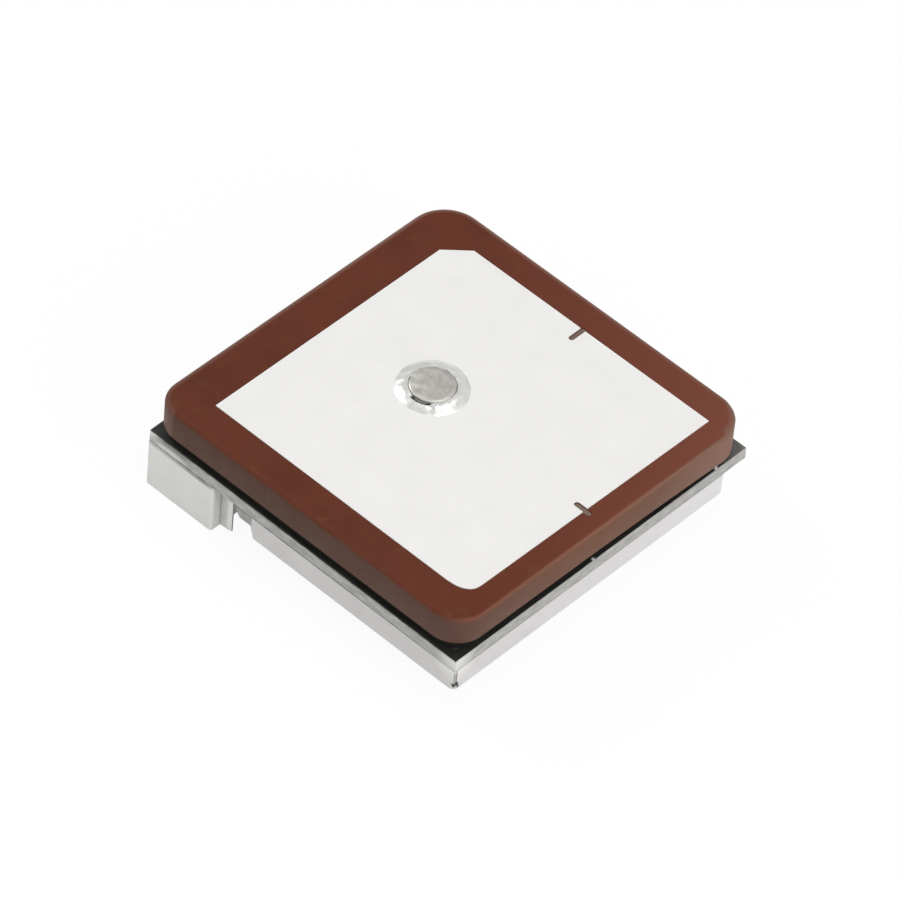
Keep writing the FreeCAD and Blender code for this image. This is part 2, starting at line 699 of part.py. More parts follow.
doc.recompute()
os.makedirs("parts", exist_ok=True)
faults = []
for item in doc.Objects:
    if "Invalid" in item.State or "Error" in item.State:
        faults.append(item.Name + " " + ",".join(item.State))
for item in doc.Objects:
    if item.TypeId != "PartDesign::Body":
        continue
    if item.Shape.isNull() or not item.Shape.isValid() or not item.Shape.Solids:
        faults.append(item.Label + " has no valid solid")
        continue
    item.Shape.exportStep("parts/" + item.Label + ".step")
    box = item.Shape.optimalBoundingBox(False)
    print("%-24s %2d solids %9.3f mm3  X %7.3f %7.3f  Y %7.3f %7.3f  Z %6.3f %6.3f" % (
        item.Label, len(item.Shape.Solids), item.Shape.Volume, box.XMin, box.XMax, box.YMin, box.YMax,
        box.ZMin, box.ZMax))
if faults:
    raise RuntimeError("; ".join(faults))
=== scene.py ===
"""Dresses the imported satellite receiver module: a square ceramic antenna on a circuit board.

Each operator makes one piece, or one group of like pieces. main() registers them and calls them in
order. New pieces are modelled in millimetres and scaled to metres at the end.
"""

import math

import bmesh
import bpy
from bpy.props import FloatProperty, FloatVectorProperty, IntProperty, PointerProperty
from mathutils import Matrix, Vector, noise


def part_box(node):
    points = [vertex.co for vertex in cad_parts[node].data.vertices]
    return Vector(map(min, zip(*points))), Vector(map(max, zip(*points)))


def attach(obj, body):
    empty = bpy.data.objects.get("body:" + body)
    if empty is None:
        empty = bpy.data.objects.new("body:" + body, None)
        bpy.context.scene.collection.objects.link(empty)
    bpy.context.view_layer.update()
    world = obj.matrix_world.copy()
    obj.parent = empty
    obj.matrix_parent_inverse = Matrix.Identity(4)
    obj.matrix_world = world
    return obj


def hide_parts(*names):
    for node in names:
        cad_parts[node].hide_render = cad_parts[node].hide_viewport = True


bl_info = {
    "name": "Satellite Receiver Module",
    "version": (1, 0, 0),
    "blender": (4, 5, 0),
    "location": "3D View > Sidebar > Module",
    "description": "Dresses the solids of a small satellite receiver module",
    "category": "Add Mesh",
}

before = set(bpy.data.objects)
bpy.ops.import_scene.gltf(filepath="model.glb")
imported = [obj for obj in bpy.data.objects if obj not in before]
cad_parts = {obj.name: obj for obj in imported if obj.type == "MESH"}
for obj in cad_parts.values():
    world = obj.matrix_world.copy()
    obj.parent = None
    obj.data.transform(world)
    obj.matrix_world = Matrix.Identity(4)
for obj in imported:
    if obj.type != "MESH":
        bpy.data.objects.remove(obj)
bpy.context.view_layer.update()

MM = 0.001
CERAMIC, PATCH, BEAD, PIN, BAND, TABS, HOUSING = (
    [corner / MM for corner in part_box(node)]
    for node in ("antenna_ceramic", "antenna_patch", "feed_solder", "feed_pin", "edge_plating",
                 "connector_tabs", "connector_housing"))
FEED = Vector(((BEAD[0].x + BEAD[1].x) / 2, (BEAD[0].y + BEAD[1].y) / 2, 0.0))

RIGHTWARD, BACKWARD, UPWARD = (1.0, 0.0, 0.0), (0.0, 1.0, 0.0), (0.0, 0.0, 1.0)
ACROSS = (1.0, 1.0, 0.0)  # from the left corner to the right corner
NOISE_LOW, NOISE_HIGH = 0.3, 0.7  # noise rarely leaves this range
SHARP = math.radians(32)  # faces that meet at a larger angle keep a sharp edge

# From here on in millimetres
JOINED, AT_PLACE = 1e-5, 1e-4  # slack for points that are one, and for finding edges by place
PIN_HOLE = 0.6  # radius of the hole round the pin
CLEAR = 1.0  # how far a cutter stands out of what it cuts
BACK_SLIT_X, BACK_SLIT_REACH = 0.99, 1.0  # reach is from the far side of the patch's box
SIDE_SLIT_Y, SIDE_SLIT_REACH = -0.38, 0.66
GROOVE_ENDS = (0.0, 0.27)  # how far the back and the side slit run on past the patch's box
CUTTER_ENDS = (0.5, 0.6)  # the same for the cutters of the patch, which leave through its edge
CREVICE_SHADE_TURNS = (-94, -82, -70, -58)  # painted shade spots in the crevice of the solder, in degrees round the feed
CREVICE_MIDDLE, CREVICE_HALF = -76, 30
CREVICE_SHADE_RADIUS, CREVICE_SHADE_DEPTH = 1.53, 0.16
# Dark spots in the can's notch: in from the band's right and front faces, height and radius
NOTCH_SHADE = ((0.04, 0.15, 2.50, 0.18), (0.0, 0.27, 2.35, 0.07), (0.0, 0.36, 2.24, 0.04))
CORNER_BLEND = 0.2  # over which a mask along a rounded corner fades in from the straight side


def tone(red, green, blue):
    """A display colour, 0 to 255, as the linear values that a shader takes."""
    shares = [value / 255 for value in (red, green, blue)]
    return tuple(s / 12.92 if s <= 0.04045 else ((s + 0.055) / 1.055) ** 2.4 for s in shares)


def length(name, description, default):
    return FloatProperty(name=name, description=description, default=default, min=0.0,
                         unit="LENGTH", subtype="DISTANCE", precision=6)


def colour(name, description, default):
    return FloatVectorProperty(name=name, description=description, default=default, size=3, min=0.0,
                               max=1.0, subtype="COLOR")


class ModuleSizes(bpy.types.PropertyGroup):
    """Sizes that the dressed pieces take"""

    left_corner: length("Left corner", "Radius of the ceramic's corner over the connector", 0.0019)
    far_corner: length("Far corner", "Radius of the ceramic's far corner", 0.0026)
    right_corner: length("Right corner", "Radius of the ceramic's right corner", 0.0022)
    near_corner: length("Near corner", "Radius of the ceramic's near corner", 0.0020)
    ceramic_edge: length("Ceramic edge", "Radius of the ceramic's top edge", 0.00040)
    slit_width: length("Slit width", "Width of the two tuning slits", 0.00038)
    slit_depth: length("Slit depth", "Depth of the slits in the ceramic", 0.00009)
    bead_unevenness: length("Bead unevenness", "How far the bead departs from round", 0.00007)
    head_unevenness: length("Head unevenness", "How far the pin's head departs from round", 0.00003)
    band_unevenness: length("Band unevenness", "How far the tinned band dips inwards", 0.00002)
    tab_bow: length("Tab bow", "How far the connector's tabs bow", 0.00012)
    turn_steps: IntProperty(name="Turn steps", description="Steps in the round pieces", default=96,
                            min=24, max=256)


class ModuleColours(bpy.types.PropertyGroup):
    """Colours of the finishes"""

    ceramic: colour("Ceramic", "Fired microwave ceramic", tone(88, 42, 26))
    dust: colour("Dust", "Ground ceramic in the slits", tone(118, 100, 92))
    silver: colour("Silver", "Printed and fired silver", tone(229, 228, 226))
    solder: colour("Solder", "Reflowed solder", tone(240, 240, 236))
    pin: colour("Pin", "Tinned head of the pin", tone(214, 212, 206))
    foam: colour("Foam", "Adhesive foam tape", tone(22, 19, 15))
    resist: colour("Resist", "Dark solder resist of the board", tone(35, 36, 34))
    band: colour("Band", "Tinned edge of the board", tone(160, 159, 156))
    tinplate: colour("Tinplate", "Folded shield can", tone(193, 191, 190))
    nylon: colour("Nylon", "Moulded connector housing", tone(206, 206, 203))
    contact: colour("Contact", "Tinned tabs and contacts", tone(210, 209, 206))
    # Sheared tab edges: bare metal, with painted shade
    sheared: colour("Sheared", "Sheared edges of the tabs", tone(118, 116, 112))


def sizes():
    return bpy.context.scene.module_sizes


def colours():
    return bpy.context.scene.module_colours


class Finish:
    """A material in the making: its shader, and nodes that vary it over the surface."""

    def __init__(self, name, base, roughness, metallic=0.0, specular=0.5):
        self.material = bpy.data.materials.new(name)
        self.material.use_nodes = True
        self.tree = self.material.node_tree
        self.shader = self.tree.nodes["Principled BSDF"]
        self.base = tuple(base)
        self.place = self.node("TexCoord").outputs["Object"]
        self.set("Base Color", self.base + (1.0,))
        self.set("Roughness", roughness)
        self.set("Metallic", metallic)
        self.set("Specular IOR Level", specular)
        self.material.diffuse_color = self.base + (1.0,)

    def set(self, socket, value):
        self.shader.inputs[socket].default_value = value

    def node(self, kind, **values):
        made = self.tree.nodes.new("ShaderNode" + kind)
        for key, value in values.items():
            setattr(made, key, value)
        return made

    def link(self, source, target):
        self.tree.links.new(source, target)

    def texture(self, kind, scale, **settings):
        """A texture on the object's coordinates times scale, with its sockets set."""
        spread = self.node("Mapping")
        spread.inputs["Scale"].default_value = scale
        self.link(self.place, spread.inputs["Vector"])
        made = self.node(kind)
        for socket, value in {"Scale": 1.0, **settings}.items():
            made.inputs[socket].default_value = value
        self.link(spread.outputs["Vector"], made.inputs["Vector"])
        return made

    def noise(self, size, detail=3.0, stretch=(1.0, 1.0, 1.0)):
        """Cloudy noise whose features are about size metres across."""
        scale = [s / size for s in stretch]
        return self.texture("TexNoise", scale, Detail=detail, Roughness=0.55).outputs["Fac"]

    def cells(self, size):
        """Distance to the nearest of scattered points about size metres apart."""
        return self.texture("TexVoronoi", [1 / size] * 3).outputs["Distance"]

    def level(self, value, low, high, floor, top):
        """A value from low to high, spread between floor and top."""
        made = self.node("MapRange")
        made.inputs["From Min"].default_value = low
        made.inputs["From Max"].default_value = high
        made.inputs["To Min"].default_value = floor
        made.inputs["To Max"].default_value = top
        self.link(value, made.inputs["Value"])
        return made.outputs["Result"]

    def share(self, value, none, full):
        """0 where a value is none, 1 where it is full, and in proportion between the two."""
        return self.level(value, none, full, 0.0, 1.0)

    def vary_colour(self, value, darker, lighter, low=NOISE_LOW, high=NOISE_HIGH):
        """Base colour from darker to lighter shares of the base as value goes from low to high."""
        ramp = self.node("ValToRGB")
        first, last = ramp.color_ramp.elements
        first.position, last.position = low, high
        first.color = [min(c * darker, 1.0) for c in self.base] + [1.0]
        last.color = [min(c * lighter, 1.0) for c in self.base] + [1.0]
        self.link(value, ramp.inputs["Fac"])
        self.link(ramp.outputs["Color"], self.shader.inputs["Base Color"])
        return ramp.outputs["Color"]

    def along(self, direction):
        """How far a point lies along a direction."""
        made = self.node("VectorMath", operation="DOT_PRODUCT")
        made.inputs[1].default_value = direction
        self.link(self.place, made.inputs[0])
        return made.outputs["Value"]

    def near(self, point, full, none):
        """1 within full millimetres of a point and 0 beyond none."""
        made = self.node("VectorMath", operation="DISTANCE")
        made.inputs[1].default_value = [v * MM for v in point]
        self.link(self.place, made.inputs[0])
        return self.share(made.outputs["Value"], none * MM, full * MM)

    def stripe(self, direction, centre, full, none):
        """1 within full millimetres of a plane and 0 beyond none."""
        away = self.maths("ABSOLUTE", self.maths("SUBTRACT", self.along(direction), centre * MM))
        return self.share(away, none * MM, full * MM)

    def maths(self, operation, *values):
        made = self.node("Math", operation=operation)
        for socket, value in zip(made.inputs, values):
            if isinstance(value, float):
                socket.default_value = value
            else:
                self.link(value, socket)
        return made.outputs[0]

    def fold(self, operation, *values):
        """One value from several, two at a time."""
        found = values[0]
        for value in values[1:]:
            found = self.maths(operation, found, value)
        return found

    def tint(self, under, mask, over):
        """A second colour over the first, by a mask."""
        mix = self.node("Mix", data_type="RGBA")
        self.link(mask, mix.inputs["Factor"])
        self.link(under, mix.inputs["A"])
        if isinstance(over, tuple):
            mix.inputs["B"].default_value = over + (1.0,)
        else:
            self.link(over, mix.inputs["B"])
        self.link(mix.outputs["Result"], self.shader.inputs["Base Color"])
        return mix.outputs["Result"]

    def speck(self, under, value, over, low, high):
        """A second colour over the first, as value goes from low to high."""
        return self.tint(under, self.share(value, low, high), over)

    def steps(self, value, *stops):
        """A colour that goes through stops of a position from 0 to 1 and a colour."""
        ramp = self.node("ValToRGB")
        marks = ramp.color_ramp.elements
        while len(marks) < len(stops):
            marks.new(1.0)
        for mark, stop in zip(marks, stops):
            mark.position = stop[0]
        for mark, stop in zip(marks, stops):
            mark.color = stop[1] + (1.0,)
        self.link(value, ramp.inputs["Fac"])
        return ramp.outputs["Color"]

    def vary_roughness(self, value, low, high):
        rough = self.level(value, NOISE_LOW, NOISE_HIGH, low, high)
        self.link(rough, self.shader.inputs["Roughness"])

    def relief(self, *layers):
        """Bump from pairs of a value and its height in metres."""
        below = None
        for value, height in layers:
            bump = self.node("Bump")
            bump.inputs["Distance"].default_value = height
            self.link(value, bump.inputs["Height"])
            if below is not None:
                self.link(below, bump.inputs["Normal"])
            below = bump.outputs["Normal"]
        self.link(below, self.shader.inputs["Normal"])


def outline_mask(made, start, end, sides, corners):
    """1 along some sides and corners of the ceramic, less than end millimetres from its outline.

    It falls to 0 at start millimetres from the outline.
    """
    half, top = CERAMIC[1].x, CERAMIC[1].z
    parts = []
    for x, y in sides:
        parts.append(made.share(made.along((x, y, 0.0)), (half - start) * MM, (half - end) * MM))
    for right, back, radius in corners:
        way = Vector((2 * right - 1, 2 * back - 1))
        inner = half - radius
        inside = made.near((way.x * inner, way.y * inner, top), radius - start, radius - end)
        part = made.share(inside, 1.0, 0.0)
        for direction in ((way.x, 0.0, 0.0), (0.0, way.y, 0.0)):
            out = made.along(direction)
            beyond = made.share(out, inner * MM, (inner + CORNER_BLEND) * MM)
            part = made.maths("MULTIPLY", part, beyond)
        parts.append(part)
    return made.fold("MAXIMUM", *parts)


def ceramic_finish():
    """Fired ceramic, ground to another tone round its sides, with painted highlights along its
    edges and a painted sheen towards the right.
    """
    made = Finish("brown_ceramic", colours().ceramic, 0.55, specular=0.24)
    cloud = made.noise(0.0030, detail=4.0)
    across = made.along(ACROSS)
    width = made.share(across, -0.0125, 0.0240)
    body = made.vary_colour(cloud, 0.90, 1.10)
    body = made.speck(body, made.noise(0.0009, detail=2.0), tone(92, 56, 30), 0.60, 0.85)
    # Painted sheen: the top lighter towards the right corner
    body = made.speck(body, across, tone(106, 58, 43), 0.002, 0.0235)

    # The ground sides, with a crisp limit on the right face and a soft one elsewhere. Their own
    # ground tone, with painted light that makes them lighter towards the right
    ragged = made.level(made.noise(0.0011, stretch=(1.0, 0.25, 1.0)), 0.2, 0.8, -0.00007, 0.00007)
    height = made.maths("ADD", made.along((0.0, 0.0088, 1.0)), ragged)
    right = made.share(made.along(RIGHTWARD), 0.0105, 0.0122)
    crisp = made.maths("MULTIPLY", made.share(height, 0.00715, 0.00709), right)
    soft = made.maths("MULTIPLY", made.share(height, 0.00713, 0.00693), made.share(right, 1.0, 0.0))
    side = made.maths("ADD", crisp, soft)
    ground = made.steps(width, (0.0, tone(77, 52, 41)), (0.34, tone(84, 59, 50)),
                        (0.59, tone(100, 67, 51)), (0.82, tone(101, 71, 56)),
                        (1.0, tone(123, 91, 79)))
    mottled = made.speck(ground, made.noise(0.0006), tone(92, 66, 52), 0.45, 1.6)
    body = made.tint(body, side, mottled)

    # Painted highlights along the top edges of the two far sides and round the left corner
    left, far, right_end, near_end = ceramic_corners()
    rim = outline_mask(made, 0.50, 0.05, ((-1, 0), (0, 1)), (far, right_end))
    rim = made.maths("MULTIPLY", rim, made.share(made.along(UPWARD), 0.00690, 0.00705))
    painted_rim_highlight = made.steps(made.share(made.along((-1.0, 1.0, 0.0)), 0.0, 0.0234),
                          (0.0, tone(114, 88, 77)), (0.5, tone(126, 98, 88)),
                          (1.0, tone(140, 112, 104)))
    body = made.tint(body, rim, painted_rim_highlight)
    left_rim_highlight = made.maths("MULTIPLY", outline_mask(made, 0.40, 0.05, (), (left,)), 0.6)
    body = made.tint(body, left_rim_highlight, tone(106, 78, 68))

    # A narrow painted highlight along the right side's top edge
    lit = made.maths("MULTIPLY", outline_mask(made, 0.15, 0.02, ((1, 0),), (near_end,)),
                     made.share(height, 0.00688, 0.00702))
    glint = made.steps(width, (0.30, tone(84, 52, 40)), (0.36, tone(105, 63, 47)),
                       (0.685, tone(115, 76, 59)), (1.0, tone(112, 84, 72)))
    made.tint(body, lit, glint)
    made.link(made.level(side, 0.0, 1.0, 0.14, 0.12), made.shader.inputs["Specular IOR Level"])
    made.vary_roughness(cloud, 0.48, 0.62)
    made.relief((cloud, 0.000004), (made.noise(0.00016, detail=2.0), 0.0000030))
    return made.material


def dust_finish():
    made = Finish("ground_ceramic", colours().dust, 0.9, specular=0.1)
    grain = made.noise(0.00012)
    made.vary_colour(grain, 0.80, 1.15)
    made.relief((grain, 0.000010))
    return made.material


def silver_finish():
    made = Finish("silver_film", colours().silver, 0.62, metallic=0.35, specular=0.3)
    cloud = made.noise(0.0024)
    mesh = made.noise(0.00012, detail=2.0)
    made.vary_colour(cloud, 0.965, 1.0)
    made.vary_roughness(mesh, 0.55, 0.70)
    made.relief((cloud, 0.000004), (mesh, 0.0000035))
    return made.material


def solder_finish():
    made = Finish("solder", colours().solder, 0.2, metallic=0.62, specular=0.6)
    skin = made.noise(0.0006, detail=2.0)
    fine = made.noise(0.0001, detail=2.0)
    body = made.vary_colour(skin, 0.86, 1.0)
    # Painted shade in the crevice where the bead falls away from the head
    for turn in CREVICE_SHADE_TURNS:
        a = math.radians(turn)
        place = (FEED.x + CREVICE_SHADE_RADIUS * math.cos(a), FEED.y + CREVICE_SHADE_RADIUS * math.sin(a),
                 BEAD[1].z - CREVICE_SHADE_DEPTH)
        body = made.tint(body, made.near(place, 0.13, 0.22), tone(70, 66, 62))
    made.vary_roughness(skin, 0.16, 0.28)
    made.relief((skin, 0.000008), (fine, 0.0000012))
    return made.material


def pin_finish():
    made = Finish("tinned_pin", colours().pin, 0.42, metallic=0.85)
    cloud = made.noise(0.0007)
    body = made.vary_colour(cloud, 0.78, 1.12)
    # Painted shade: the head darker towards the right
    made.speck(body, made.along((0.772, 0.636, 0.0)), tone(198, 195, 190), -0.0026, -0.0006)
    made.vary_roughness(made.noise(0.0003), 0.32, 0.50)
    made.relief((cloud, 0.000020), (made.noise(0.00009, stretch=(1.0, 5.0, 1.0)), 0.000004))
    return made.material


def foam_finish():
    made = Finish("black_foam", colours().foam, 0.95, specular=0.2)
    pores = made.cells(0.00011)
    made.vary_colour(made.noise(0.0008), 0.6, 1.3)
    made.relief((pores, 0.000025))
    return made.material


def resist_finish():
    made = Finish("dark_resist", colours().resist, 0.42, specular=0.5)
    cloud = made.noise(0.0018)
    weave = made.noise(0.00022)
    body = made.vary_colour(cloud, 0.80, 1.20)
    body = made.speck(body, made.along(ACROSS), tone(84, 83, 80), 0.0212, 0.0240)
    body = made.tint(body, made.near((12.5, 12.5, BAND[1].z), 0.05, 0.45), tone(122, 120, 118))
    made.tint(body, made.near((11.67, -11.67, BAND[1].z), 0.03, 0.24), tone(78, 77, 74))
    made.vary_roughness(cloud, 0.36, 0.5)
    made.relief((weave, 0.000005), (made.noise(0.00006), 0.000002))
    return made.material


def seam_shade(made):
    """A painted shade line along the seam, on the right face at the near corner."""
    line = made.stripe(BACKWARD, -12.42, 0.08, 0.17)
    face = made.share(made.along(RIGHTWARD), 0.01240, 0.01247)
    height = made.along(UPWARD)
    return made.fold("MULTIPLY", line, face, made.share(height, 0.00240, 0.00260),
                     made.share(height, 0.00375, 0.00335))


def left_face_run(made, height, width, ends):
    """A soft level line on the face over the connector, from one x to another."""
    line = made.stripe(UPWARD, height, width, width + 0.1)
    face = made.share(made.along(BACKWARD), -0.01225, -0.01235)
    place = made.along(RIGHTWARD)
    start, end = (v * MM for v in ends)
    return made.fold("MULTIPLY", line, face, made.share(place, start - 0.0001, start + 0.0003),
                     made.share(place, end + 0.0002, end - 0.0006))


def band_finish():
    made = Finish("tinned_edge", colours().band, 0.42, metallic=0.35)
    streak = made.noise(0.0004, detail=4.0, stretch=(0.45, 0.45, 1.4))
    blotch = made.noise(0.0013, stretch=(0.7, 0.7, 1.5))
    body = made.vary_colour(streak, 0.73, 1.15, 0.32, 0.68)
    low, high = BAND
    for x, full, none in ((high.x, 0.5, 1.7), (low.x, 0.2, 0.8)):
        body = made.tint(body, made.near((x, low.y, high.z), full, none), tone(206, 205, 202))
    # Painted shade and, below it, a painted highlight: the shading of a ridge in the band over the
    # connector
    body = made.tint(body, left_face_run(made, 4.38, 0.13, (-11.6, -9.0)), tone(122, 121, 118))
    made.tint(body, left_face_run(made, 3.90, 0.09, (-11.9, -9.4)), tone(192, 191, 188))
    made.vary_roughness(blotch, 0.30, 0.56)
    made.relief((blotch, 0.000018), (streak, 0.000014))
    return made.material


def tinplate_finish():
    made = Finish("tinplate", colours().tinplate, 0.38, metallic=0.2)
    rolled = made.noise(0.00022, detail=2.0, stretch=(0.08, 0.08, 1.5))
    cloud = made.noise(0.0020)
    body = made.vary_colour(cloud, 0.92, 1.03)
    low, high = BAND
    # Painted light: the can lighter towards the right
    body = made.speck(body, made.along(ACROSS), tone(202, 200, 200), 0.002, 0.022)
    body = made.tint(body, made.near((high.x, low.y, high.z), 1.0, 2.2), tone(212, 211, 209))
    # Painted shade on the low ear beside the tab
    ear = made.maths("MULTIPLY", made.share(made.along(RIGHTWARD), -0.00390, -0.00405),
                     made.share(made.along(UPWARD), 0.00285, 0.00295))
    ear_shade = made.steps(made.noise(0.0005), (NOISE_LOW, tone(112, 111, 108)),
                       (NOISE_HIGH, tone(158, 157, 154)))
    body = made.tint(body, ear, ear_shade)
    # Painted shade line along the seam at the near corner
    body = made.tint(body, seam_shade(made), tone(146, 144, 141))
    for x, y, z, full in NOTCH_SHADE:
        shade = made.near((high.x - x, low.y + y, z), full, full + 0.08)
        body = made.tint(body, shade, tone(26, 25, 24))
    made.vary_roughness(cloud, 0.30, 0.42)
    made.relief((cloud, 0.000008), (rolled, 0.000002))
    return made.material


def nylon_finish():
    made = Finish("pale_nylon", colours().nylon, 0.48, specular=0.45)
    cloud = made.noise(0.0020, detail=2.0)
    body = made.vary_colour(cloud, 0.965, 1.02)
    # Painted shade along the housing's top edge under the band, darker towards the tab
    top_edge_shade = made.steps(made.share(made.along(RIGHTWARD), -0.0115, -0.0085),
                      (0.0, tone(170, 169, 166)), (1.0, tone(140, 139, 136)))
    made.tint(body, left_face_run(made, HOUSING[1].z, 0.18, (-12.6, -7.1)), top_edge_shade)
    made.vary_roughness(cloud, 0.42, 0.55)
    made.relief((made.noise(0.00012), 0.0000025), (cloud, 0.000006))
    made.set("Subsurface Weight", 0.08)
    made.set("Subsurface Scale", 0.0006)
    return made.material


# Sheared tab edges: darker as bare metal, and darker still as painted shade
def sheared_edge_shade_finish():
    made = Finish("sheared_edge_shade", colours().sheared, 0.5, metallic=0.8)
    made.vary_colour(made.noise(0.0002, detail=2.0), 0.8, 1.15)
    made.relief((made.noise(0.00008, stretch=(1.0, 1.0, 0.15)), 0.000006))
    return made.material


def contact_finish():
    made = Finish("tinned_brass", colours().contact, 0.24, metallic=1.0)
    cloud = made.noise(0.0007, detail=2.0)
    made.vary_colour(cloud, 0.90, 1.03)
    made.vary_roughness(cloud, 0.18, 0.32)
    made.relief((cloud, 0.000006), (made.noise(0.00008, stretch=(1.0, 1.0, 0.1)), 0.0000015))
    return made.material


def tab_finish():
    made = Finish("tinned_tab", tone(196, 195, 192), 0.36, metallic=0.2)
    cloud = made.noise(0.0007, detail=2.0)
    body = made.vary_colour(cloud, 0.95, 1.03)
    start, end = HOUSING[1].x * MM, TABS[1].x * MM
    place = made.along(RIGHTWARD)
    # Painted highlight: the tab lighter towards its outer end
    made.speck(body, place, tone(222, 221, 219), start + 0.0004, end - 0.0002)
    made.vary_roughness(cloud, 0.30, 0.44)
    made.relief((cloud, 0.000006), (made.noise(0.00008, stretch=(1.0, 1.0, 0.1)), 0.0000015))
    return made.material


def hidden_finish(name, base, roughness, metallic=0.0):
    """A finish for the parts shut in the can."""
    made = Finish(name, base, roughness, metallic=metallic)
    cloud = made.noise(0.0005)
    made.vary_colour(cloud, 0.88, 1.1)
    made.vary_roughness(cloud, roughness * 0.85, min(roughness * 1.15, 1.0))
    made.relief((made.noise(0.00006), 0.000003))
    return made.material


# Mesh helpers

def rounded(bm, parts, offset, segments, affect="EDGES"):
    """Rounds edges, or flat corners where affect is VERTICES."""
    bmesh.ops.bevel(bm, geom=parts, offset=offset, offset_type="OFFSET", segments=segments,
                    profile=0.5, affect=affect, material=-1, clamp_overlap=True)


def raised(bm, faces, rise):
    """Pulls flat faces up into solids."""
    grown = bmesh.ops.extrude_face_region(bm, geom=faces)["geom"]
    bmesh.ops.translate(bm, vec=(0, 0, rise),
                        verts=[part for part in grown if isinstance(part, bmesh.types.BMVert)])


def block(low, high):
    """A box between two corners."""
    bm = bmesh.new()
    bmesh.ops.create_cube(bm, size=1.0)
    low, high = Vector(low), Vector(high)
    bmesh.ops.scale(bm, vec=high - low, verts=bm.verts)
    bmesh.ops.translate(bm, vec=(low + high) / 2, verts=bm.verts)
    return bm


def pin_hole_cutter(low, high):
    """A cutter from one height to another for the hole round the pin."""
    bm = bmesh.new()
    bmesh.ops.create_cone(bm, cap_ends=True, segments=24, radius1=PIN_HOLE, radius2=PIN_HOLE,
                          depth=high - low)
    bmesh.ops.translate(bm, vec=(FEED.x, FEED.y, (low + high) / 2), verts=bm.verts)
    return bm


def upright_edges(bm):
    return [e for e in bm.edges
            if (e.verts[0].co - e.verts[1].co).xy.length < JOINED and e.calc_length() > AT_PLACE]


def edges_at(bm, level):
    """Edges at one height between a flat face and a side face."""
    return [e for e in bm.edges
            if all(abs(v.co.z - level) < JOINED for v in e.verts)
            and any(abs(f.normal.z) < 0.5 for f in e.link_faces)]


def placed(name, bm):
    """The mesh as an object of the scene."""
    mesh = bpy.data.meshes.new(name)
    bm.to_mesh(mesh)
    bm.free()
    made = bpy.data.objects.new(name, mesh)
    bpy.context.scene.collection.objects.link(made)
    return made


def piece(name, bm, finish, slot, *nodes):
    """A finished piece in metres, smooth but for its sharp edges.

    It rides on the body and stands for the named nodes.
    """
    bmesh.ops.remove_doubles(bm, verts=bm.verts, dist=JOINED)
    bmesh.ops.recalc_face_normals(bm, faces=bm.faces)
    bmesh.ops.scale(bm, vec=(MM, MM, MM), verts=bm.verts)
    for face in bm.faces:
        face.smooth = True
    for edge in bm.edges:
        edge.smooth = len(edge.link_faces) != 2 or edge.calc_face_angle(0.0) < SHARP
    made = placed(name, bm)
    made.data.materials.append(finish)
    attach(made, "root")
    if nodes:
        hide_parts(*nodes)


def carved(bm, *cutters):
    """The mesh less the cutters, as a bmesh."""
    holder = placed("carve_work", bm)
    used = [holder]
    for cutter in cutters:
        bmesh.ops.recalc_face_normals(cutter, faces=cutter.faces)
        used.append(placed("carve_tool", cutter))
        step = holder.modifiers.new("cut", "BOOLEAN")
        step.operation = "DIFFERENCE"
        step.solver = "EXACT"
        step.object = used[-1]
    graph = bpy.context.evaluated_depsgraph_get()
    left = bpy.data.meshes.new_from_object(holder.evaluated_get(graph))
    made = bmesh.new()
    made.from_mesh(left)
    bpy.data.meshes.remove(left)
    for item in used:
        mesh = item.data
        bpy.data.objects.remove(item)
        bpy.data.meshes.remove(mesh)
    return made


def repaint(finish, *nodes):
    """Gives carried solids a finish."""
    for name in nodes:
        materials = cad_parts[name].data.materials
        materials.clear()
        materials.append(finish)


def obround(start, end, width, low, high):
    """A long solid with round ends, between two points and two heights."""
    start, end = Vector(start), Vector(end)
    along = (end - start).normalized()
    across = Vector((-along.y, along.x)) * width / 2
    bm = bmesh.new()
    loop = []
    for centre, side in ((start, across), (end, -across)):
        first = bm.verts.new((*(centre + side), low))
        bmesh.ops.spin(bm, geom=[first], cent=(*centre, low), axis=(0, 0, 1), angle=math.pi,
                       steps=10)
        loop += [v for v in bm.verts if v not in loop]
    half = len(loop) // 2
    bm.edges.new((loop[half - 1], loop[half]))
    bm.edges.new((loop[-1], loop[0]))
    raised(bm, [bm.faces.new(loop)], high - low)
    return bm


def slits(width, low, high, ends):
    """The slit in the far side and the slit in the right side of the patch, as two solids."""
    right, far = PATCH[1].x, PATCH[1].y
    back_end, side_end = ends
    back = obround((BACK_SLIT_X, far - BACK_SLIT_REACH), (BACK_SLIT_X, far + back_end),
                   width, low, high)
    side = obround((right - SIDE_SLIT_REACH, SIDE_SLIT_Y), (right + side_end, SIDE_SLIT_Y),
                   width, low, high)
    return back, side


def ceramic_corners():
    """Each corner as its shares of x and y and its radius."""
    used = sizes()
    return ((0, 0, used.left_corner / MM), (0, 1, used.far_corner / MM),
            (1, 1, used.right_corner / MM), (1, 0, used.near_corner / MM))


def outline_at(place):
    """How far inside the ceramic's outline a place lies, and the way out from there."""
    for x, y, radius in ceramic_corners():
        centre = Vector((CERAMIC[x].x + radius * (1 - 2 * x), CERAMIC[y].y + radius * (1 - 2 * y)))
        out = place - centre
        if out.x * (2 * x - 1) > 1e-6 and out.y * (2 * y - 1) > 1e-6:
            return radius - out.length, out.normalized()
    low, high = CERAMIC
    sides = ((place.x - low.x, (-1, 0)), (high.x - place.x, (1, 0)), (place.y - low.y, (0, -1)),
             (high.y - place.y, (0, 1)))
    inset, way = min(sides)
    return inset, Vector(way)


def clamped(value):
    """The value held between 0 and 1."""
    return min(max(value, 0.0), 1.0)


